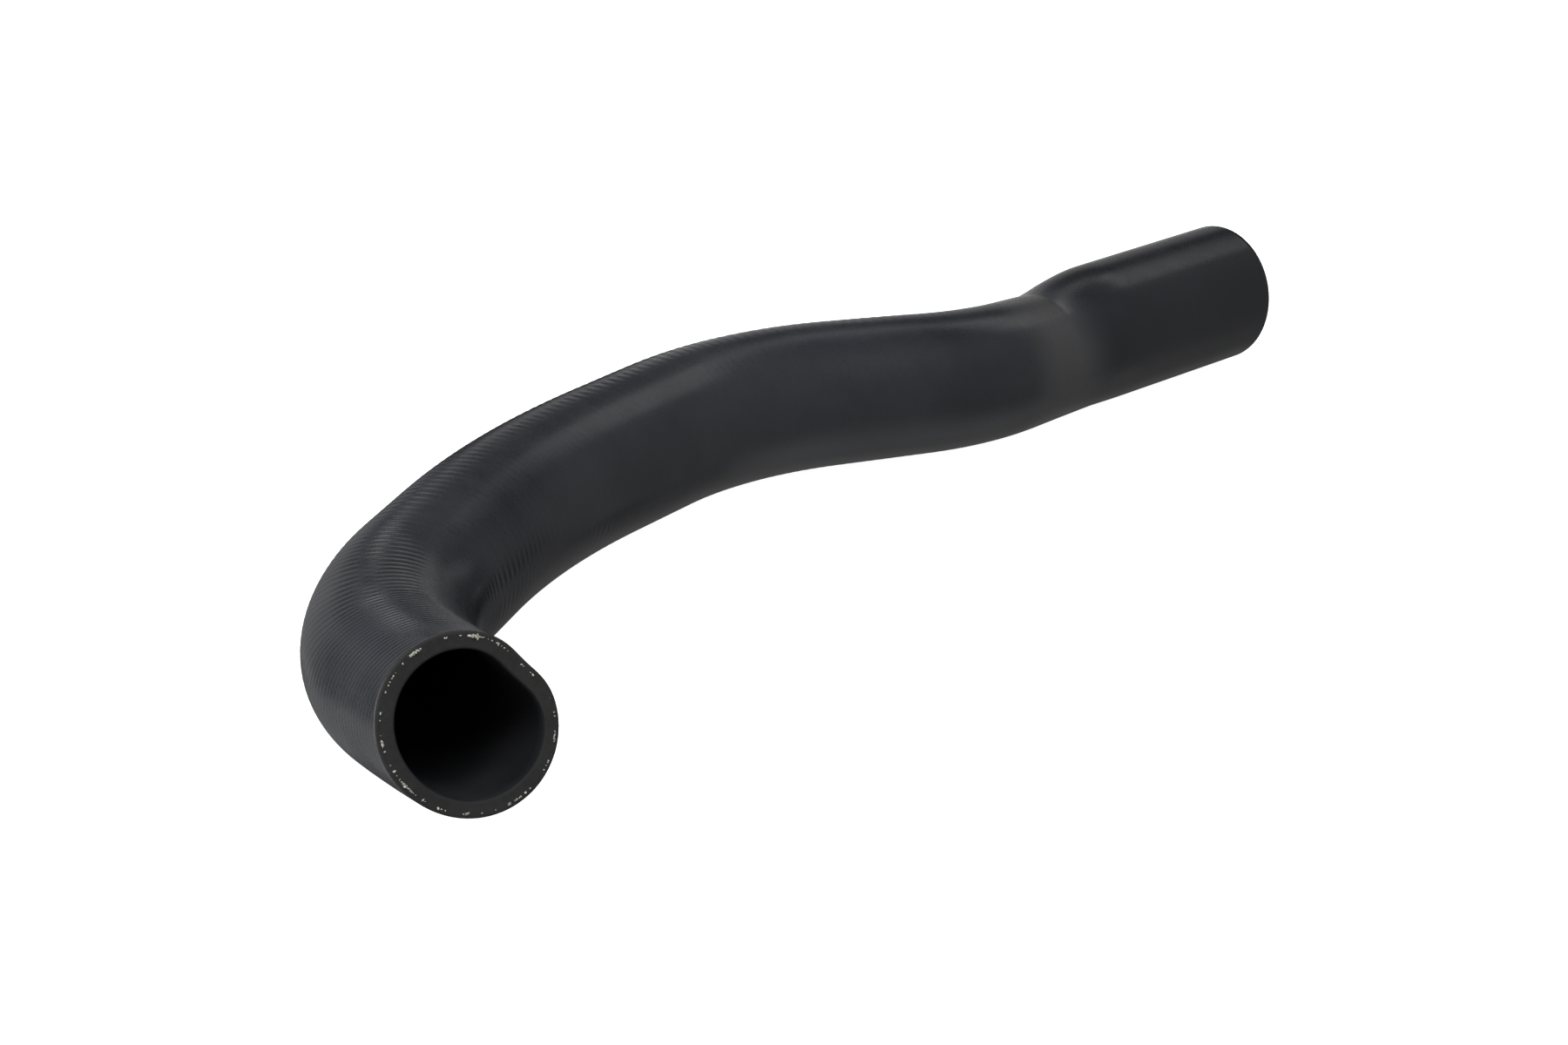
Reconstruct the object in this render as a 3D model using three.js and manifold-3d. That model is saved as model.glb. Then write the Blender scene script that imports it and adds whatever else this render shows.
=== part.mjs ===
// Turbo hose: a moulded rubber hose that carries charge air from a turbocharger to an engine.
// One piece of fabric-reinforced rubber, cured on a bent mandrel and open at both ends.
// Millimetres, +Z up. It lies flat on z = 0, with the middle of its underside at the origin.

import * as THREE from 'three';
import Module from 'manifold-3d';
import { mergeVertices } from 'three/addons/utils/BufferGeometryUtils.js';

const wasm = await Module();
wasm.setup();

// Bores: each end's is the outside diameter of the pipe that it is pushed onto.
// The inlet's goes on through the body.
const INLET_BORE = 40;
const NECK_BORE = 35;
const OUTLET_BORE = 39;
const WALL = 4.75;

// The mandrel's course from the inlet: each straight run, and the angle and radius of the bend after it
const INLET_RUN = 43;
const ELBOW_ANGLE = 42;
const ELBOW_RADIUS = 118;
const SWEEP_RUN = 28;
const SWEEP_ANGLE = 18.5;
const SWEEP_RADIUS = 275;
const CURVE_RUN = 29;
const CURVE_ANGLE = 35.5;
const CURVE_RADIUS = 115;
const RETURN_RUN = 33;
const RETURN_ANGLE = 27.5;
const RETURN_RADIUS = 80;
const FLARE_RUN = 29;
const FLARE_ANGLE = 3;
const FLARE_RADIUS = 80;
const OUTLET_RUN = 80;

// Along the centreline: where the body narrows to the neck, the flare after it, and the outlet's socket
const TAPER_LENGTH = 140;
const FLARE_LENGTH = 32;
const OUTLET_SOCKET = 66;

// The inlet curls up off the flat and is a little out of round, with its bore off centre
const INLET_RISE = 11.5;
const RISE_LENGTH = 110;
const INLET_OVAL = 0.045;
const OVAL_ANGLE = -47;
const OVAL_LENGTH = 90;
const BORE_SHIFT = 0.6;

// A shallow flat on the inlet, deeper and wider in the bore.
// Its depths and length are in mm, and its place and widths in degrees round the hose.
const FLAT_DEPTH = 1.4;
const FLAT_BORE_DEPTH = 2.4;
const FLAT_WIDTH = 18;
const FLAT_BORE_WIDTH = 28;
const FLAT_ANGLE = 38;
const FLAT_LENGTH = 60;

// The outlet was cut a little off square, with its top longer than its underside
const OUTLET_LEAN = 4.5;
const LEAN_LENGTH = 40;

// The direction that the inlet's run takes into the hose, seen from above
const START_HEADING = 79;

// Faces round the outside and round the bore, and the longest steps along them
const OUTER_SIDES = 44;
const BORE_SIDES = 32;
const LONG_STEP = 9;
const FLARE_STEP = 4;

const UP = new THREE.Vector3(0, 0, 1);
const { degToRad, radToDeg, lerp, smoothstep, clamp, euclideanModulo } = THREE.MathUtils;

// The course seen from above: runs and bends, one after another
function planCourse() {
  const plan = new THREE.Path();
  const place = new THREE.Vector2();
  let heading = degToRad(START_HEADING);
  plan.moveTo(0, 0);

  function run(length) {
    place.x += length * Math.cos(heading);
    place.y += length * Math.sin(heading);
    plan.lineTo(place.x, place.y);
  }

  function bend(angle, radius) {
    const turn = degToRad(angle);
    const side = Math.sign(turn);
    const from = heading - side * Math.PI / 2;
    const centre = new THREE.Vector2(
      place.x - radius * Math.cos(from),
      place.y - radius * Math.sin(from),
    );
    plan.absarc(centre.x, centre.y, radius, from, from + turn, side < 0);
    heading += turn;
    place.set(
      centre.x + radius * Math.cos(from + turn),
      centre.y + radius * Math.sin(from + turn),
    );
  }

  run(INLET_RUN);
  bend(-ELBOW_ANGLE, ELBOW_RADIUS);
  run(SWEEP_RUN);
  bend(-SWEEP_ANGLE, SWEEP_RADIUS);
  run(CURVE_RUN);
  bend(-CURVE_ANGLE, CURVE_RADIUS);
  run(RETURN_RUN);
  bend(RETURN_ANGLE, RETURN_RADIUS);
  run(FLARE_RUN);
  bend(-FLARE_ANGLE, FLARE_RADIUS);
  run(OUTLET_RUN);
  return plan;
}

const plan = planCourse();
const LENGTH = plan.getLength();
const FLARE_END = LENGTH - OUTLET_SOCKET;
const FLARE_START = FLARE_END - FLARE_LENGTH;

// The bore's radius at a distance from the inlet: body, narrowing neck, flare, socket
function boreRadius(distance) {
  const intoNeck = clamp((distance - FLARE_START + TAPER_LENGTH) / TAPER_LENGTH, 0, 1) ** 2;
  const intoOutlet = smoothstep(distance, FLARE_START, FLARE_END);
  const neck = lerp(INLET_BORE, NECK_BORE, intoNeck);
  return lerp(neck, OUTLET_BORE, intoOutlet) / 2;
}

// How far the centreline's underside is lifted off the flat
function rise(distance) {
  const left = clamp(1 - distance / RISE_LENGTH, 0, 1);
  return INLET_RISE * left ** 2;
}

// A point of the centreline, which runs straight on beyond both ends
function centrePoint(distance) {
  const inside = clamp(distance, 0, LENGTH);
  const flat = plan.getPoint(inside / LENGTH);
  const height = boreRadius(inside) + WALL + rise(inside);
  const point = new THREE.Vector3(flat.x, flat.y, height);
  const beyond = distance - inside;
  return beyond === 0 ? point : point.addScaledVector(direction(inside), beyond);
}

function direction(distance) {
  const reach = 0.5;
  const from = clamp(distance - reach, 0, LENGTH);
  const to = clamp(distance + reach, 0, LENGTH);
  return centrePoint(to).sub(centrePoint(from)).normalize();
}

// Where the sections stand: close together through the flare, further apart elsewhere
function stations() {
  const stretches = [
    [0, FLARE_START, LONG_STEP],
    [FLARE_START, FLARE_END, FLARE_STEP],
    [FLARE_END, LENGTH, LONG_STEP],
  ];
  const distances = [0];
  for (const [from, to, step] of stretches) {
    const count = Math.max(1, Math.ceil((to - from) / step));
    for (let i = 1; i <= count; i += 1) {
      distances.push(lerp(from, to, i / count));
    }
  }
  return distances;
}

// How much of a change that starts at the inlet is left at a distance from it
function leftOver(distance, length) {
  return 1 - smoothstep(distance, 0, length);
}

// How far a section reaches from its centre at an angle round it: an oval with a shallow flat in it
function reachAt(angle, radius, distance, outward) {
  const oval = INLET_OVAL * leftOver(distance, OVAL_LENGTH);
  const flat = lerp(FLAT_BORE_DEPTH, FLAT_DEPTH, outward) * leftOver(distance, FLAT_LENGTH);
  const width = lerp(FLAT_BORE_WIDTH, FLAT_WIDTH, outward);
  const fromFlat = euclideanModulo(radToDeg(angle) - FLAT_ANGLE + 180, 360) - 180;
  const round = radius * (1 + oval * Math.cos(2 * (angle - degToRad(OVAL_ANGLE))));
  return round - flat * Math.exp(-((fromFlat / width) ** 2));
}

// One section across the hose, as a ring of points: growth is how far it lies outside the bore
function section(distance, growth, sides) {
  const inside = clamp(distance, 0, LENGTH);
  const along = direction(inside);
  const across = new THREE.Vector3().crossVectors(along, UP).normalize();
  const upward = new THREE.Vector3().crossVectors(across, along);
  const outward = growth / WALL;
  const shift = BORE_SHIFT * (1 - outward) * leftOver(inside, OVAL_LENGTH);
  const lean = Math.tan(degToRad(OUTLET_LEAN)) * clamp(1 - (LENGTH - inside) / LEAN_LENGTH, 0, 1);
  const centre = centrePoint(distance).addScaledVector(across, shift);
  const ring = [];
  for (let i = 0; i < sides; i += 1) {
    const angle = (i / sides) * 2 * Math.PI;
    const reach = reachAt(angle, boreRadius(inside) + growth, inside, outward);
    const height = reach * Math.sin(angle);
    ring.push(centre.clone()
      .addScaledVector(across, reach * Math.cos(angle))
      .addScaledVector(upward, height)
      .addScaledVector(along, height * lean));
  }
  return { centre, ring };
}

// A closed solid lofted through a list of sections, with a flat cap at each end
function loft(sections, sides) {
  const points = sections.flatMap((one) => one.ring);
  const firstCap = points.length;
  points.push(sections[0].centre, sections.at(-1).centre);
  const faces = [];
  for (let i = 0; i < sides; i += 1) {
    const next = (i + 1) % sides;
    for (let j = 0; j < sections.length - 1; j += 1) {
      const near = j * sides;
      const far = near + sides;
      faces.push(near + i, far + next, near + next);
      faces.push(near + i, far + i, far + next);
    }
    const last = (sections.length - 1) * sides;
    faces.push(firstCap, i, next);
    faces.push(firstCap + 1, last + next, last + i);
  }
  const geometry = new THREE.BufferGeometry().setFromPoints(points);
  geometry.setIndex(faces);
  return geometry;
}

function toSolid(geometry) {
  const bare = geometry.clone();
  bare.deleteAttribute('normal');
  bare.deleteAttribute('uv');
  const merged = mergeVertices(bare, 1e-4);
  return new wasm.Manifold(new wasm.Mesh({
    numProp: 3,
    vertProperties: new Float32Array(merged.attributes.position.array),
    triVerts: new Uint32Array(merged.index.array),
  }));
}

function toGeometry(solid) {
  const mesh = solid.getMesh();
  const geometry = new THREE.BufferGeometry();
  geometry.setAttribute('position', new THREE.BufferAttribute(new Float32Array(mesh.vertProperties), 3));
  geometry.setIndex(new THREE.BufferAttribute(new Uint32Array(mesh.triVerts), 1));
  return geometry;
}

// The hose: its outer form less its bore, which is cut through both end faces
function makeHose() {
  const inside = stations();
  const outer = loft(inside.map((at) => section(at, WALL, OUTER_SIDES)), OUTER_SIDES);
  const through = [-WALL, ...inside.slice(1, -1), LENGTH + WALL];
  const bore = loft(through.map((at) => section(at, 0, BORE_SIDES)), BORE_SIDES);
  return toGeometry(toSolid(outer).subtract(toSolid(bore)));
}

const geometry = makeHose();
geometry.computeBoundingBox();
const middle = geometry.boundingBox.getCenter(new THREE.Vector3());
geometry.translate(-middle.x, -middle.y, -geometry.boundingBox.min.z);
geometry.computeVertexNormals();

const rubber = new THREE.MeshStandardMaterial({ color: 0x2b2c2f, roughness: 0.62, metalness: 0 });
const hose = new THREE.Mesh(geometry, rubber);
hose.name = 'hose';

const turboHose = new THREE.Group();
turboHose.name = 'turbo_hose';
turboHose.add(hose);

export default turboHose;
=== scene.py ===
import math

import bpy
import numpy as np
from mathutils import Euler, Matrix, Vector


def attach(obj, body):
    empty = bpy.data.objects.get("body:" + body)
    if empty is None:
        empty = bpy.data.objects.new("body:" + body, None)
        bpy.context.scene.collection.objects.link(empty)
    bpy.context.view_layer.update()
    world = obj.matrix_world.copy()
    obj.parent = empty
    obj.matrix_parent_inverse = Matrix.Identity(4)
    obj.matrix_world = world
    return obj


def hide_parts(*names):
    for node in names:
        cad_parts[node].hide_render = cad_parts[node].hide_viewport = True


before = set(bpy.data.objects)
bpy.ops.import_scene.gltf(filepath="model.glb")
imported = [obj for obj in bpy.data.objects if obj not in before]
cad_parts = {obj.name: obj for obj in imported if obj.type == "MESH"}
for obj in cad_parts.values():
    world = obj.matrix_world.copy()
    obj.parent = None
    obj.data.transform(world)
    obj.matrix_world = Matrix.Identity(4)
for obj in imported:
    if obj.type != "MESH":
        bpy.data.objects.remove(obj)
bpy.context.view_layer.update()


# Camera
# A short tele lens from the inlet's side, a little above the hose, as in the photograph.

LENS_MM = 80
FRAME_WIDTH_MM = 36
CAMERA_PLACE = (-0.6178, -0.8121, 0.4032)
CAMERA_TURN = (69.06, 0.70, -36.10)


def new_object(name, data):
    """An object in the scene that shows that mesh, light or camera."""
    made = bpy.data.objects.new(name, data)
    bpy.context.scene.collection.objects.link(made)
    return made


camera_data = bpy.data.cameras.new("camera")
camera_data.lens = LENS_MM
camera_data.sensor_width = FRAME_WIDTH_MM
camera = new_object("camera", camera_data)
camera.location = CAMERA_PLACE
camera.rotation_euler = Euler([math.radians(turn) for turn in CAMERA_TURN])
bpy.context.scene.camera = camera


# Hose wall
# Fabric-reinforced rubber, cured on a bent steel mandrel under a tight wrap of nylon tape.
# One closed wall is swept along the mandrel's course, and the edges of the tape leave fine rings on its skin.

# The mandrel's course from the inlet, in metres and degrees
HEADING = 79.0
COURSE = (
    # straight run, bend angle, bend radius
    (0.043, -42.0, 0.118),
    (0.028, -18.5, 0.275),
    (0.029, -35.5, 0.115),
    (0.033, 27.5, 0.080),
    (0.029, -3.0, 0.080),
    (0.080, 0.0, 1.0),
)
COURSE_POINTS = 8001

WALL = 0.00475
INLET_BORE = 0.040
NECK_BORE = 0.035
OUTLET_BORE = 0.039
TAPER_LENGTH = 0.140
FLARE_LENGTH = 0.032
OUTLET_SOCKET = 0.066

# The inlet curls up and is a little out of round, with its bore off centre and a shallow flat on it
INLET_RISE = 0.0115
RISE_LENGTH = 0.110
INLET_OVAL = 0.045
OVAL_ANGLE = -47.0
OVAL_LENGTH = 0.090
BORE_SHIFT = 0.0006
FLAT_DEPTH = 0.0014
FLAT_BORE_DEPTH = 0.0024
FLAT_WIDTH = 18.0
FLAT_BORE_WIDTH = 28.0
FLAT_ANGLE = 38.0
FLAT_LENGTH = 0.060

# The outlet is cut a little off square, and every cut leaves a slightly blunt edge
OUTLET_LEAN = 4.5
LEAN_LENGTH = 0.040
EDGE_ROUND = 0.0004

# The mesh: points round a loop, loops on a cut face, and steps between loops, short where rings are deep
SIDES = 96
FACE_LOOPS = 9
ELBOW_LENGTH = 0.180
ELBOW_STEP = 0.0004
RINGED_LENGTH = 0.400
RINGED_STEP = 0.0008
SMOOTH_STEP = 0.0016
BORE_STEP = 0.004
OUTLINE_SIDES = 720
OUTLINE_EVERY = 20


def course_table():
    """Distance along the course and its place in plan, at close steps."""
    knots, headings = [0.0], [math.radians(HEADING)]
    for run, angle, radius in COURSE:
        knots.append(knots[-1] + run)
        headings.append(headings[-1])
        if angle:
            turn = math.radians(angle)
            knots.append(knots[-1] + abs(turn) * radius)
            headings.append(headings[-1] + turn)
    distance = np.linspace(0.0, knots[-1], COURSE_POINTS)
    middle = (distance[1:] + distance[:-1]) / 2
    heading = np.interp(middle, knots, headings)
    step = np.diff(distance)
    x = np.concatenate([[0.0], np.cumsum(np.cos(heading) * step)])
    y = np.concatenate([[0.0], np.cumsum(np.sin(heading) * step)])
    return distance, x, y


def ease(value, start, end):
    share = np.clip((value - start) / (end - start), 0.0, 1.0)
    return share * share * (3 - 2 * share)


COURSE_DISTANCE, COURSE_X, COURSE_Y = course_table()
LENGTH = COURSE_DISTANCE[-1]
FLARE_END = LENGTH - OUTLET_SOCKET
FLARE_START = FLARE_END - FLARE_LENGTH


def bore_radius(distance):
    into_neck = np.clip((distance - FLARE_START + TAPER_LENGTH) / TAPER_LENGTH, 0.0, 1.0) ** 2
    neck = INLET_BORE + (NECK_BORE - INLET_BORE) * into_neck
    return (neck + (OUTLET_BORE - neck) * ease(distance, FLARE_START, FLARE_END)) / 2


def centreline(distance):
    lift = INLET_RISE * np.clip(1 - distance / RISE_LENGTH, 0.0, 1.0) ** 2
    return np.stack([
        np.interp(distance, COURSE_DISTANCE, COURSE_X),
        np.interp(distance, COURSE_DISTANCE, COURSE_Y),
        bore_radius(distance) + WALL + lift,
    ], axis=-1)


def section_axes(distance):
    """The hose's own direction, and the ways across and up from it, at each distance."""
    reach = 0.0005
    along = (centreline(np.minimum(distance + reach, LENGTH))
             - centreline(np.maximum(distance - reach, 0.0)))
    along /= np.linalg.norm(along, axis=-1, keepdims=True)
    across = np.cross(along, (0.0, 0.0, 1.0))
    across /= np.linalg.norm(across, axis=-1, keepdims=True)
    return along, across, np.cross(across, along)


def rings(distance, growth, around):
    """Points on rings round the course: growth is how far outside the bore each ring lies."""
    along, across, upward = section_axes(distance)
    outward = np.broadcast_to(growth / WALL, distance.shape)
    oval = INLET_OVAL * (1 - ease(distance, 0.0, OVAL_LENGTH))
    shift = BORE_SHIFT * (1 - outward) * (1 - ease(distance, 0.0, OVAL_LENGTH))
    flat = ((FLAT_BORE_DEPTH + (FLAT_DEPTH - FLAT_BORE_DEPTH) * outward)
            * (1 - ease(distance, 0.0, FLAT_LENGTH)))
    width = FLAT_BORE_WIDTH + (FLAT_WIDTH - FLAT_BORE_WIDTH) * outward
    lean = math.tan(math.radians(OUTLET_LEAN)) * np.clip(1 - (LENGTH - distance) / LEAN_LENGTH, 0.0, 1.0)
    from_flat = (np.degrees(around) - FLAT_ANGLE + 180) % 360 - 180
    reach = ((bore_radius(distance) + growth)[:, None]
             * (1 + oval[:, None] * np.cos(2 * (around - math.radians(OVAL_ANGLE))))
             - flat[:, None] * np.exp(-(from_flat / width[:, None]) ** 2))
    height = reach * np.sin(around)
    return (centreline(distance)[:, None, :]
            + (reach * np.cos(around) + shift[:, None])[..., None] * across[:, None, :]
            + height[..., None] * upward[:, None, :]
            + (height * lean[:, None])[..., None] * along[:, None, :])


def middle_of_underside():
    """The point that the CAD model's frame starts from."""
    around = np.linspace(0, math.tau, OUTLINE_SIDES, endpoint=False)
    points = rings(COURSE_DISTANCE[::OUTLINE_EVERY], WALL, around).reshape(-1, 3)
    low, high = points.min(axis=0), points.max(axis=0)
    return np.array([(low[0] + high[0]) / 2, (low[1] + high[1]) / 2, 0.0])


ORIGIN = middle_of_underside()

# What a loop of the mesh lies on, and how far from the cut edges the rings have faded in
SKIN, CUT, LINING = 0, 1, 2
PLAIN_MARGIN = 0.004


def wall_profile():
    """The loops along the skin, over the outlet's cut face, back through the bore and over the inlet's."""
    skin = np.concatenate([
        np.arange(EDGE_ROUND, ELBOW_LENGTH, ELBOW_STEP),
        np.arange(ELBOW_LENGTH, RINGED_LENGTH, RINGED_STEP),
        np.arange(RINGED_LENGTH, LENGTH - EDGE_ROUND, SMOOTH_STEP),
        [LENGTH - EDGE_ROUND],
    ])
    bore = np.linspace(LENGTH - EDGE_ROUND, EDGE_ROUND, round(LENGTH / BORE_STEP))
    face = np.linspace(WALL - EDGE_ROUND, EDGE_ROUND, FACE_LOOPS)
    distance = np.concatenate([skin, np.full(face.size, LENGTH), bore, np.zeros(face.size)])
    growth = np.concatenate([np.full(skin.size, WALL), face, np.zeros(bore.size), face[::-1]])
    region = np.repeat([SKIN, CUT, LINING, CUT], [skin.size, face.size, bore.size, face.size])
    return distance, growth, region


def wall_mesh():
    distance, growth, region = wall_profile()
    around = np.linspace(0, math.tau, SIDES, endpoint=False)
    points = rings(distance, growth, around) - ORIGIN
    loops = distance.size
    ring = np.arange(loops)[:, None] * SIDES
    after = (np.arange(loops)[:, None] + 1) % loops * SIDES
    here, beside = np.arange(SIDES)[None, :], (np.arange(SIDES)[None, :] + 1) % SIDES
    quads = np.stack([ring + here, after + here, after + beside, ring + beside], axis=-1)
    mesh = bpy.data.meshes.new("hose")
    mesh.from_pydata(points.reshape(-1, 3).tolist(), [], quads.reshape(-1, 4).tolist())
    from_cuts = ease(distance, 0.0, PLAIN_MARGIN) * (1 - ease(distance, LENGTH - PLAIN_MARGIN, LENGTH))
    values = {
        "along": np.repeat(distance, SIDES),
        "around": np.tile(around, loops),
        "skin": np.repeat((region == SKIN) * from_cuts, SIDES),
    }
    for name, value in values.items():
        mesh.attributes.new(name, "FLOAT", "POINT").data.foreach_set("value", value.astype(np.float32))
    face_region = np.maximum(region, np.roll(region, -1))
    for name, number in (("cut", CUT), ("lining", LINING)):
        flags = np.repeat(face_region == number, SIDES)
        mesh.attributes.new(name, "BOOLEAN", "FACE").data.foreach_set("value", flags)
    mesh.shade_smooth()
    mesh.update()
    return mesh


class Wire:
    """A link from a node's output. Sums on wires add their Math nodes, in a shader and in geometry alike."""

    def __init__(self, tree, socket=None):
        self.tree = tree
        self.socket = socket

    def node(self, kind, settings=None, inputs=None, output=0):
        """A node of that kind: settings are its properties, inputs the numbers or wires for its sockets."""
        made = self.tree.nodes.new(kind)
        for name, value in (settings or {}).items():
            setattr(made, name, value)
        for name, value in (inputs or {}).items():
            target = made.inputs[name]
            if isinstance(value, Wire):
                value.into(target)
            else:
                target.default_value = value
        return Wire(self.tree, made.outputs[output])

    def into(self, target):
        self.tree.links.new(self.socket, target)

    def math(self, operation, *others):
        return self.node("ShaderNodeMath", {"operation": operation}, dict(enumerate((self, *others))))

    def __add__(self, other):
        return self.math("ADD", other)

    def __sub__(self, other):
        return self.math("SUBTRACT", other)

    def __mul__(self, other):
        return self.math("MULTIPLY", other)

    def __truediv__(self, other):
        return self.math("DIVIDE", other)

    def __pow__(self, other):
        return self.math("POWER", other)

    def ease(self, low, high, to_low=0.0, to_high=1.0):
        return self.node("ShaderNodeMapRange", {"interpolation_type": "SMOOTHSTEP"},
                         {0: self, 1: low, 2: high, 3: to_low, 4: to_high})

    def zone(self, start, full, fading, end):
        """1 from full to fading, easing to 0 at start and at end."""
        return self.ease(start, full) - self.ease(fading, end)


def new_tree(name, inputs):
    """A Geometry Nodes tree with those named inputs, and the wires that come from them."""
    tree = bpy.data.node_groups.new(name, "GeometryNodeTree")
    tree.interface.new_socket("Geometry", in_out="OUTPUT", socket_type="NodeSocketGeometry")
    for title, kind in {"Geometry": "Geometry", **inputs}.items():
        tree.interface.new_socket(title, in_out="INPUT", socket_type=f"NodeSocket{kind}")
    given = tree.nodes.new("NodeGroupInput")
    return tree, {socket.name: Wire(tree, socket) for socket in given.outputs if socket.name}


# The tape: one turn's width, the turns that crowd together at the inlet, how far it ran aslant, how uneven
# it lay, how deep its edges pressed, and where that fades towards the outlet
WRAP_PITCH = 0.0036
WRAP_CROWD = 7.0
CROWD_LENGTH = 0.055
WRAP_SLANT = 0.022
WRAP_DRIFT = 2.2
WRAP_HEIGHT = 0.00012
WRAP_SHARPNESS = 0.8
WRAP_FADE_FROM = 0.300
WRAP_FADE_TO = 0.450
WRAP_LEFT = 0.12
WRAP_SEED = 3.0
DRIFT_SCALE = 22.0

# Where its rings show and how strongly, in metres along the course and radians round it
SLANTED_SIDE = (1.50, 3.50, 3.60, 5.60)
FAR_FROM, FAR_TO = (1.02, 1.25), (4.90, 5.40)
FAR_TURN, FAR_TURN_ALONG = 0.42, (0.085, 0.120)
FAR_SHARES, FAR_SHARES_ALONG = (1.35, 0.85), (0.100, 0.130)
INNER_MIDDLE, INNER_COSINES = 5.98, (0.80, 0.96)
INNER_SHARE, INNER_ALONG = 1.4, (0.085, 0.110, 0.135, 0.172)
PATCH_SHARE, PATCH_ALONG = 0.30, (0.180, 0.200, 0.225, 0.250)
SHARE_EVERYWHERE = 0.08

# The patchiness: its noise, which of that noise is a patch, and the strength that it gives from low to high
PATCH_SCALE, PATCH_SEED_STEP = 34.0, 7.0
PATCH_NOISE = (0.45, 0.62)
STRENGTH_NOISE, STRENGTHS = (0.30, 0.65), (0.55, 1.15)

# A small dimple beside the flare: its place, how fast it fades along and round the hose, and its depth
DIMPLE_ALONG, DIMPLE_AROUND = 0.436, 0.50
DIMPLE_FADE_ALONG, DIMPLE_FADE_AROUND = 160.0, 3.6
DIMPLE_DEPTH = 0.0006


def wrap_marks_tree():
    """Geometry Nodes: raises the rings that the tape's edges leave, a little uneven."""
    floats = ("Pitch", "Crowding", "Slant", "Height", "Fade From", "Fade To", "Left Over", "Seed")
    materials = ("Skin", "Cut Rubber", "Lining")
    tree, wire = new_tree("wrap marks", dict.fromkeys(floats, "Float") | dict.fromkeys(materials, "Material"))
    new = wire["Geometry"].node

    def attribute(name, kind="FLOAT"):
        return new("GeometryNodeInputNamedAttribute", {"data_type": kind}, {"Name": name})

    along, around, skin = attribute("along"), attribute("around"), attribute("skin")
    place = new("GeometryNodeInputPosition")
    drift = new("ShaderNodeTexNoise", {"noise_dimensions": "4D"},
                {"Vector": place, "W": wire["Seed"], "Scale": DRIFT_SCALE, "Detail": 1.0})
    patch = new("ShaderNodeTexNoise", {"noise_dimensions": "4D"},
                {"Vector": place, "W": wire["Seed"] + PATCH_SEED_STEP, "Scale": PATCH_SCALE, "Detail": 2.0})
    # the tape ran aslant over the elbow's left side, and its turns crowd together towards the inlet
    aslant = around.zone(*SLANTED_SIDE)
    crowded = new("ShaderNodeMapRange", None,
                  {0: along, 1: 0.0, 2: CROWD_LENGTH, 3: 0.0, 4: wire["Crowding"]})
    turns = (along - aslant * wire["Slant"]) / wire["Pitch"] + crowded + (drift - 0.5) * WRAP_DRIFT
    ridge = ((turns * math.tau).math("COSINE") * 0.5 + 0.5) ** WRAP_SHARPNESS
    # the front is smooth: rings show on the far side, over the elbow, inside its bend and in a few patches
    far_start = along.ease(*FAR_TURN_ALONG, 0.0, FAR_TURN)
    far = (around - far_start).ease(*FAR_FROM) * around.ease(*FAR_TO, 1.0, 0.0)
    inside = (around - INNER_MIDDLE).math("COSINE").ease(*INNER_COSINES)
    inner = inside * along.zone(*INNER_ALONG) * INNER_SHARE
    patches = patch.ease(*PATCH_NOISE) * along.zone(*PATCH_ALONG) * PATCH_SHARE
    fade = along.ease(wire["Fade From"], wire["Fade To"], 1.0, wire["Left Over"])
    shown = (far * along.ease(*FAR_SHARES_ALONG, *FAR_SHARES) + inner + patches + SHARE_EVERYWHERE) * fade
    strength = patch.ease(*STRENGTH_NOISE, *STRENGTHS) * shown
    spread = (((along - DIMPLE_ALONG) * DIMPLE_FADE_ALONG) ** 2
              + ((around - DIMPLE_AROUND) * DIMPLE_FADE_AROUND) ** 2)
    dimple = (spread * -1.0).math("EXPONENT") * DIMPLE_DEPTH
    relief = ((ridge - 1.0) * wire["Height"] * strength - dimple) * skin
    shift = new("ShaderNodeVectorMath", {"operation": "SCALE"},
                {0: new("GeometryNodeInputNormal"), "Scale": relief})
    # the skin's material reads both of these
    shape = wire["Geometry"]
    for name, value in (("turns", turns), ("ringed", strength * skin)):
        shape = new("GeometryNodeStoreNamedAttribute", {"data_type": "FLOAT", "domain": "POINT"},
                    {"Geometry": shape, "Name": name, "Value": value})
    moved = new("GeometryNodeSetPosition", None, {"Geometry": shape, "Offset": shift})
    solid = new("GeometryNodeRealizeInstances", None, {"Geometry": moved})
    dressed = new("GeometryNodeSetMaterial", None, {"Geometry": solid, "Material": wire["Skin"]})
    for name, material in (("cut", "Cut Rubber"), ("lining", "Lining")):
        chosen = {"Selection": attribute(name, "BOOLEAN"), "Material": wire[material]}
        dressed = new("GeometryNodeSetMaterial", None, {"Geometry": dressed, **chosen})
    dressed.into(tree.nodes.new("NodeGroupOutput").inputs[0])
    return tree


def plain_mesh(piece, tree, values):
    """Runs a Geometry Nodes tree on the piece with those inputs, and leaves the result as its plain mesh."""
    modifier = piece.modifiers.new(tree.name, "NODES")
    modifier.node_group = tree
    for socket in tree.interface.items_tree:
        if socket.in_out == "INPUT" and socket.name in values:
            modifier[socket.identifier] = values[socket.name]
    piece.update_tag()
    bpy.context.view_layer.update()
    seen = piece.evaluated_get(bpy.context.evaluated_depsgraph_get())
    made = bpy.data.meshes.new_from_object(seen)
    piece.modifiers.remove(modifier)
    old, piece.data = piece.data, made
    bpy.data.meshes.remove(old)
    made.name = piece.name


def new_material(name, **constants):
    """A material, its Principled shader with those constants set, and a wire to add nodes from."""
    material = bpy.data.materials.new(name)
    material.use_nodes = True
    shader = material.node_tree.nodes["Principled BSDF"]
    for socket, value in constants.items():
        shader.inputs[socket.replace("_", " ")].default_value = value
    return material, shader, Wire(material.node_tree)


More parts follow.
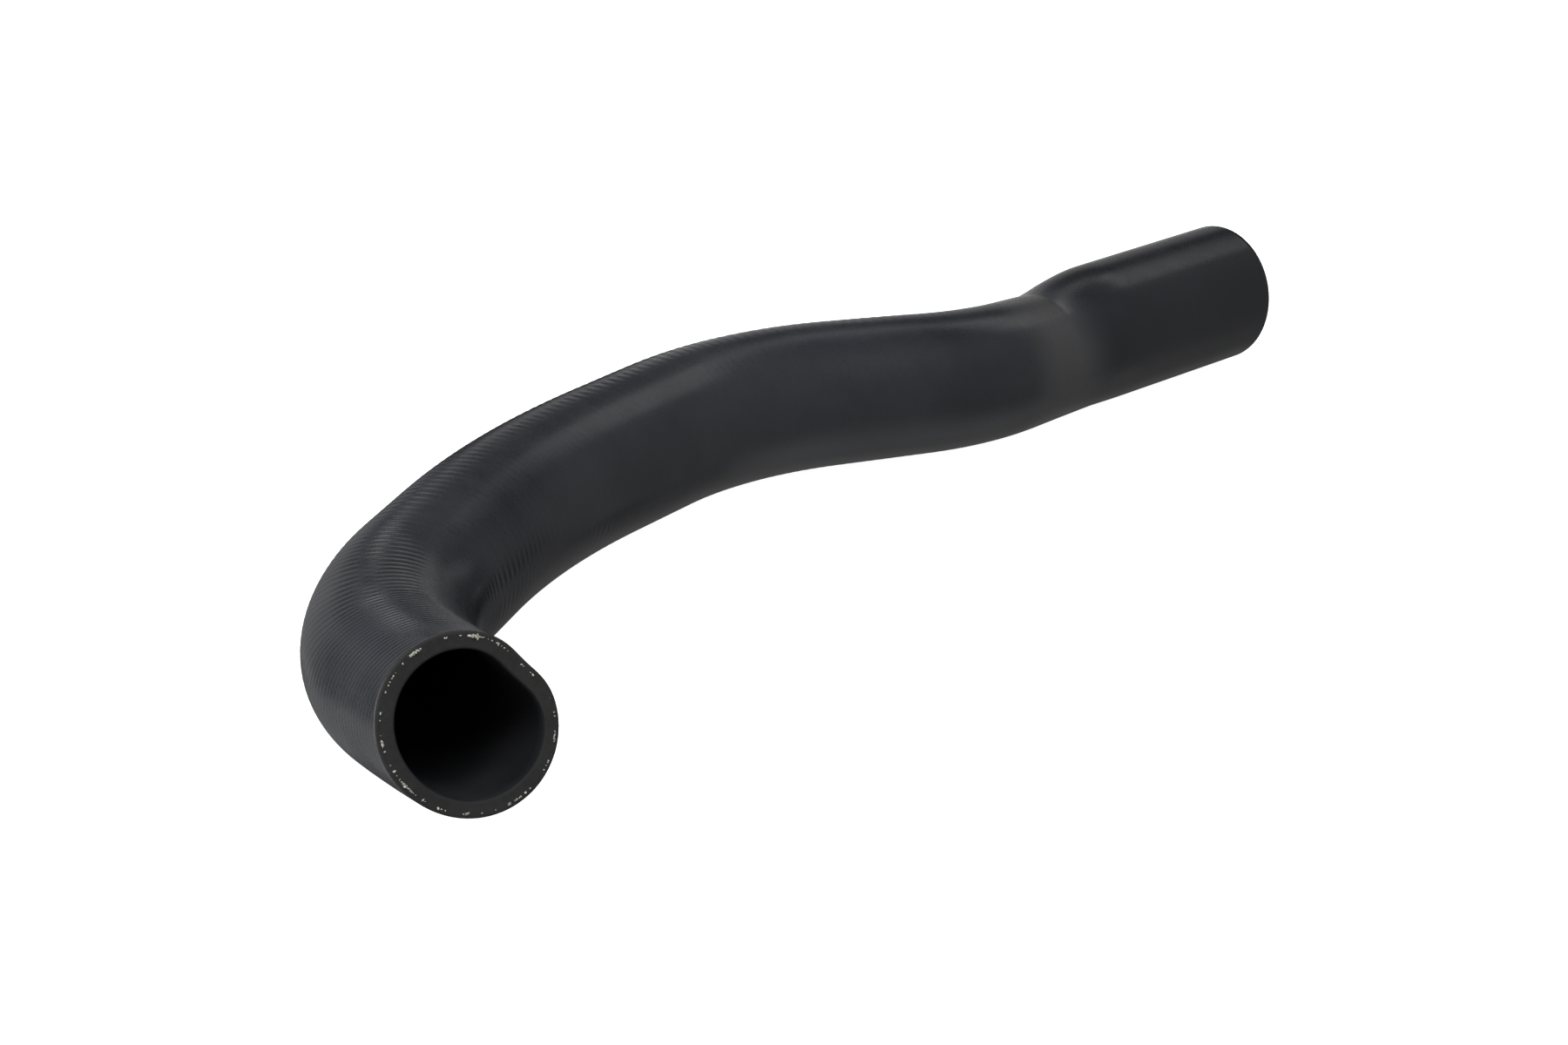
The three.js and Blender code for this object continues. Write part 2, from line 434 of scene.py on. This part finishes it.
def noise(start, scale, detail, roughness=0.5):
    """Noise that stays with the piece, with about that many blotches to a metre."""
    place = start.node("ShaderNodeTexCoord", output=3)
    return start.node("ShaderNodeTexNoise", None,
                      {"Vector": place, "Scale": scale, "Detail": detail, "Roughness": roughness})


def blend(share, first, second):
    """A colour between two, by the share of the second."""
    return share.node("ShaderNodeMix", {"data_type": "RGBA"}, {0: share, 6: first, 7: second}, output=2)


def bump(height):
    return height.node("ShaderNodeBump", None, {"Strength": 1.0, "Distance": 1.0, "Height": height})


# Colours, and where along the course the outlet's socket is darker and the flare's colour is paler in a band
SKIN_DARK, SKIN_LIGHT = (0.0270, 0.0285, 0.0350, 1), (0.0420, 0.0440, 0.0530, 1)
SOCKET_DARK, SOCKET_SHARE, SOCKET_FROM = (0.0130, 0.0140, 0.0180, 1), 0.60, (0.438, 0.452)
PALE_BAND, PALE_BAND_SHARE, PALE_BAND_ALONG = (0.0850, 0.0850, 0.0870, 1), 0.8, (0.404, 0.420, 0.428, 0.446)
EDGE_WANDER = 0.020
CUT_DARK, CUT_LIGHT = (0.0290, 0.0290, 0.0290, 1), (0.0490, 0.0490, 0.0480, 1)
# The bore's lining is painted darker than the skin: painted shade inside the bore, over the rubber's own
# uneven tone
SHADED_LINING_DARK, SHADED_LINING_LIGHT = (0.0190, 0.0200, 0.0230, 1), (0.0320, 0.0330, 0.0370, 1)

# Roughness: the smooth and the rough spots of the skin, the cut faces and the bore
SKIN_ROUGH, SPECK_ROUGH = (0.26, 0.30), 0.06
CUT_ROUGH = (0.62, 0.82)
LINING_ROUGH = (0.5, 0.65)

# Relief too fine for the mesh
GROOVE_DEPTH = 0.000012
SPECK_DEPTH = 0.000002
SCUFF_DEPTH = 0.000005
GRAIN_DEPTH = 0.00008


def skin_rubber():
    material, shader, start = new_material("hose skin rubber", Specular_IOR_Level=0.5)
    cloud = noise(start, 18.0, 4.0, 0.55)
    speck = noise(start, 900.0, 3.0, 0.6)
    scuff = noise(start, 120.0, 5.0, 0.65)
    turns, ringed, along = [start.node("ShaderNodeAttribute", {"attribute_name": name}, output=2)
                            for name in ("turns", "ringed", "along")]
    colour = blend(cloud.ease(0.3, 0.7) * 0.8 + scuff.ease(0.35, 0.75) * 0.2, SKIN_DARK, SKIN_LIGHT)
    edge = along + (cloud - 0.5) * EDGE_WANDER
    colour = blend(edge.ease(*SOCKET_FROM, 0.0, SOCKET_SHARE), colour, SOCKET_DARK)
    # a paler band in the colour, all round the flare
    colour = blend(edge.zone(*PALE_BAND_ALONG) * PALE_BAND_SHARE, colour, PALE_BAND)
    colour.into(shader.inputs["Base Color"])
    rough = scuff.ease(0.3, 0.7, *SKIN_ROUGH) + (speck - 0.5) * SPECK_ROUGH
    rough.into(shader.inputs["Roughness"])
    groove = (turns * math.tau).math("COSINE") * ringed
    height = groove * GROOVE_DEPTH + speck * SPECK_DEPTH + scuff * SCUFF_DEPTH
    bump(height).into(shader.inputs["Normal"])
    return material


def cut_rubber():
    material, shader, start = new_material("cut rubber", Specular_IOR_Level=0.35)
    grain = noise(start, 700.0, 4.0, 0.7)
    smear = noise(start, 90.0, 2.0)
    tone = grain.ease(0.3, 0.75) * 0.6 + smear.ease(0.3, 0.7) * 0.4
    blend(tone, CUT_DARK, CUT_LIGHT).into(shader.inputs["Base Color"])
    grain.ease(0.3, 0.7, *CUT_ROUGH).into(shader.inputs["Roughness"])
    bump(grain * GRAIN_DEPTH).into(shader.inputs["Normal"])
    return material


def lining_rubber():
    material, shader, start = new_material("bore lining rubber with painted shade", Specular_IOR_Level=0.2)
    cloud = noise(start, 40.0, 3.0)
    # painted shade: the lining's colours are darker than the skin's, standing in for the shade in the bore
    blend(cloud.ease(0.3, 0.7), SHADED_LINING_DARK, SHADED_LINING_LIGHT).into(shader.inputs["Base Color"])
    cloud.ease(0.3, 0.7, *LINING_ROUGH).into(shader.inputs["Roughness"])
    return material


hose = new_object("hose_rubber", wall_mesh())
plain_mesh(hose, wrap_marks_tree(), {
    "Pitch": WRAP_PITCH, "Crowding": WRAP_CROWD, "Slant": WRAP_SLANT, "Height": WRAP_HEIGHT,
    "Fade From": WRAP_FADE_FROM, "Fade To": WRAP_FADE_TO, "Left Over": WRAP_LEFT, "Seed": WRAP_SEED,
    "Skin": skin_rubber(), "Cut Rubber": cut_rubber(), "Lining": lining_rubber(),
})
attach(hose, "root")
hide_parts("hose")


# Yarn ends
# The reinforcement is a sleeve of knitted polyester yarn, buried a little under the skin.
# Where the hose was cut to length its pale ends show as short frayed tufts in a ring on each cut face.

YARN_DEPTH = 0.0013
YARN_SIZE = 0.00025
YARN_PLACES = 720
YARN_SHARE = 0.09
FRAYED_SHARE = 0.45
YARN_SEED = 5

# Each tuft's lean in radians, and its thickness, height and flatness as shares of the yarn's size
TUFT_LEAN = 1.1
TUFT_THICK = (0.5, 1.15)
TUFT_TALL = (0.8, 2.2)
TUFT_FLAT = (0.6, 1.4)
YARN_DARK, YARN_LIGHT = (0.38, 0.37, 0.31, 1), (0.90, 0.88, 0.80, 1)

# angle round the inlet from its right-hand side, in degrees; spread in degrees; how much is frayed there
FRAYS = (
    (79, 5, 1.5), (121, 4, 1.9), (159, 3, 0.8), (181, 2, 0.9), (171, 1, 0.6), (214, 3, 1.0), (228, 2, 0.7),
    (243, 4, 0.8), (262, 3, 0.9), (293, 3, 0.8), (303, 1, 0.7), (343, 3, 0.7), (62, 1, 0.8), (28, 2, 0.6),
    (98, 1, 0.6), (105, 1, 0.5), (139, 1, 0.5), (201, 1, 0.5), (40, 1, 0.4),
)
OUTLET_FRAYS_TURN = 73.0


def ply_ring_mesh():
    """The line of the reinforcement on both cut faces, with the way out of the face and how frayed it is."""
    around = np.linspace(0, math.tau, YARN_PLACES, endpoint=False)
    corners, edges, outward, fray = [], [], [], []
    for end, sign, shift in ((0.0, -1.0, 0.0), (LENGTH, 1.0, OUTLET_FRAYS_TURN)):
        distance = np.array([end])
        along, _, _ = section_axes(distance)
        first = len(corners) * YARN_PLACES
        corners.append(rings(distance, np.array([WALL - YARN_DEPTH]), around)[0] - ORIGIN)
        edges += [(first + i, first + (i + 1) % YARN_PLACES) for i in range(YARN_PLACES)]
        outward.append(np.repeat(along * sign, YARN_PLACES, axis=0))
        amount = np.zeros(YARN_PLACES)
        for angle, spread, share in FRAYS:
            gap = (np.degrees(around) - angle - shift + 180) % 360 - 180
            amount = np.maximum(amount, share * np.exp(-(gap / spread) ** 2))
        fray.append(amount)
    mesh = bpy.data.meshes.new("yarn_ends")
    mesh.from_pydata(np.concatenate(corners).tolist(), edges, [])
    mesh.attributes.new("outward", "FLOAT_VECTOR", "POINT").data.foreach_set(
        "vector", np.concatenate(outward).astype(np.float32).ravel())
    mesh.attributes.new("fray", "FLOAT", "POINT").data.foreach_set(
        "value", np.concatenate(fray).astype(np.float32))
    return mesh


def yarn_ends_tree():
    """Geometry Nodes: stands a tuft on some of the ply line's points, more and longer where it is frayed."""
    tree, wire = new_tree("yarn ends", {"Share": "Float", "Size": "Float", "Seed": "Int", "Yarn": "Material"})
    new = wire["Geometry"].node

    def chance(low, high, offset):
        return new("FunctionNodeRandomValue", {"data_type": "FLOAT"},
                   {2: low, 3: high, "Seed": wire["Seed"] + float(offset)}, output=1)

    fray = new("GeometryNodeInputNamedAttribute", {"data_type": "FLOAT"}, {"Name": "fray"})
    outward = new("GeometryNodeInputNamedAttribute", {"data_type": "FLOAT_VECTOR"}, {"Name": "outward"})
    points = new("GeometryNodeMeshToPoints", None, {"Mesh": wire["Geometry"]})
    keep = chance(0.0, 1.0, 1).math("LESS_THAN", wire["Share"] + fray * FRAYED_SHARE)
    tuft = new("GeometryNodeMeshIcoSphere", None, {"Radius": 1.0, "Subdivisions": 2})
    upright = new("FunctionNodeAlignRotationToVector", {"axis": "Z"}, {"Vector": outward})
    lean = new("ShaderNodeCombineXYZ", None, {
        0: chance(-TUFT_LEAN, TUFT_LEAN, 2),
        1: chance(-TUFT_LEAN, TUFT_LEAN, 3),
        2: chance(0.0, 6.28, 4),
    })
    turn = new("FunctionNodeRotateRotation", {"rotation_space": "LOCAL"},
               {0: upright, 1: new("FunctionNodeEulerToRotation", None, {0: lean})})
    # frayed tufts are thicker and stand out further
    thick = wire["Size"] * chance(*TUFT_THICK, 5) * (fray * 0.5 + 0.8)
    tall = wire["Size"] * chance(*TUFT_TALL, 6) * (fray.math("MINIMUM", 1.0) * 1.3 + 0.7)
    scale = new("ShaderNodeCombineXYZ", None, {0: thick, 1: thick * chance(*TUFT_FLAT, 7), 2: tall})
    tufts = new("GeometryNodeInstanceOnPoints", None,
                {"Points": points, "Selection": keep, "Instance": tuft, "Rotation": turn, "Scale": scale})
    solid = new("GeometryNodeRealizeInstances", None, {"Geometry": tufts})
    dressed = new("GeometryNodeSetMaterial", None, {"Geometry": solid, "Material": wire["Yarn"]})
    dressed.into(tree.nodes.new("NodeGroupOutput").inputs[0])
    return tree


def yarn():
    material, shader, start = new_material("polyester yarn", Roughness=0.8, Specular_IOR_Level=0.3)
    fibre = noise(start, 1600.0, 2.0)
    blend(fibre.ease(0.35, 0.7), YARN_DARK, YARN_LIGHT).into(shader.inputs["Base Color"])
    return material


yarn_ends = new_object("yarn_ends", ply_ring_mesh())
plain_mesh(yarn_ends, yarn_ends_tree(), {
    "Share": YARN_SHARE, "Size": YARN_SIZE, "Seed": YARN_SEED, "Yarn": yarn(),
})
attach(yarn_ends, "root")


# Floor and light
# A lit white acrylic table in a dim room: the hose throws hardly any shadow, and doesn't reflect the table.
# A large soft light stands at the left and one high in front, with soft boxes, a window and boards behind.

FLOOR_HALF = 4.0
FLOOR_GLOW = 0.96
FLOOR_WHITE = (0.86, 0.86, 0.86, 1)
GLOW_WHITE = (1.0, 1.0, 1.0, 1)

floor_mesh = bpy.data.meshes.new("floor")
corners = [(x * FLOOR_HALF, y * FLOOR_HALF, 0.0) for x, y in ((-1, -1), (1, -1), (1, 1), (-1, 1))]
floor_mesh.from_pydata(corners, [], [(0, 1, 2, 3)])
floor_paint, _, _ = new_material("white table", Roughness=0.9, Specular_IOR_Level=0.2, Base_Color=FLOOR_WHITE,
                                 Emission_Color=GLOW_WHITE, Emission_Strength=FLOOR_GLOW)
floor_mesh.materials.append(floor_paint)
floor = new_object("floor", floor_mesh)
floor.visible_glossy = False
floor.visible_diffuse = False

LIGHT_DISTANCE = 2.4


def soft_box(name, azimuth, elevation, width, height, brightness):
    """A lit rectangle of even brightness that faces the hose. Its place and size are given in degrees."""
    turn, lift = math.radians(azimuth), math.radians(elevation)
    way = Vector((math.cos(turn) * math.cos(lift), math.sin(turn) * math.cos(lift), math.sin(lift)))
    light = bpy.data.lights.new(name, "AREA")
    light.shape = "RECTANGLE"
    light.size = 2 * LIGHT_DISTANCE * math.tan(math.radians(width) / 2)
    light.size_y = 2 * LIGHT_DISTANCE * math.tan(math.radians(height) / 2)
    light.energy = brightness * 4 * light.size * light.size_y
    box = new_object(name, light)
    box.location = way * LIGHT_DISTANCE
    box.rotation_euler = (-way).to_track_quat("-Z", "Y").to_euler()
    box.visible_camera = False


# Some of these stand lower than the table, and the hose only reflects them
soft_box("left soft box", 85, 50, 20, 40, 1.35)
soft_box("back soft box", 60, 60, 10, 20, 1.20)
soft_box("high board", 20, 43, 24, 11, 0.85)
soft_box("high side board", 46, 52, 10, 20, 0.45)
soft_box("window", 50, -3, 20, 14, 0.50)
soft_box("upper window", 50, 13, 20, 12, 0.28)
soft_box("left wall", 86, -5, 30, 30, 0.22)
soft_box("left strip", 64, 8, 10, 10, 0.35)
soft_box("low board", 45, -30, 60, 20, 0.09)
soft_box("left skirting", 110, -30, 52, 20, 0.23)
soft_box("right board", 30, 0, 20, 20, 0.25)
soft_box("right wall", 0, 10, 20, 80, 0.12)
soft_box("key light", 152, 0, 50, 50, 3.6)
soft_box("front light", 225, 60, 40, 30, 3.3)

# The room is dark but for some light from below and from the side that the camera stands on
GLOW_BELOW, GLOW_BELOW_FROM = 0.31, (-0.90, -0.45)
GLOW_FRONT, GLOW_FRONT_FROM = 0.24, (-0.40, 0.15)

room = bpy.data.worlds.new("dim studio")
room.use_nodes = True
look = Wire(room.node_tree)
way = look.node("ShaderNodeTexCoord")
aside = look.node("ShaderNodeSeparateXYZ", None, {0: way}, output=1)
upward = look.node("ShaderNodeSeparateXYZ", None, {0: way}, output=2)
glow = upward.ease(*GLOW_BELOW_FROM, GLOW_BELOW, 0.0) + aside.ease(*GLOW_FRONT_FROM, GLOW_FRONT, 0.0)
glow.into(room.node_tree.nodes["Background"].inputs["Color"])
bpy.context.scene.world = room
bpy.context.scene.view_settings.view_transform = "Standard"
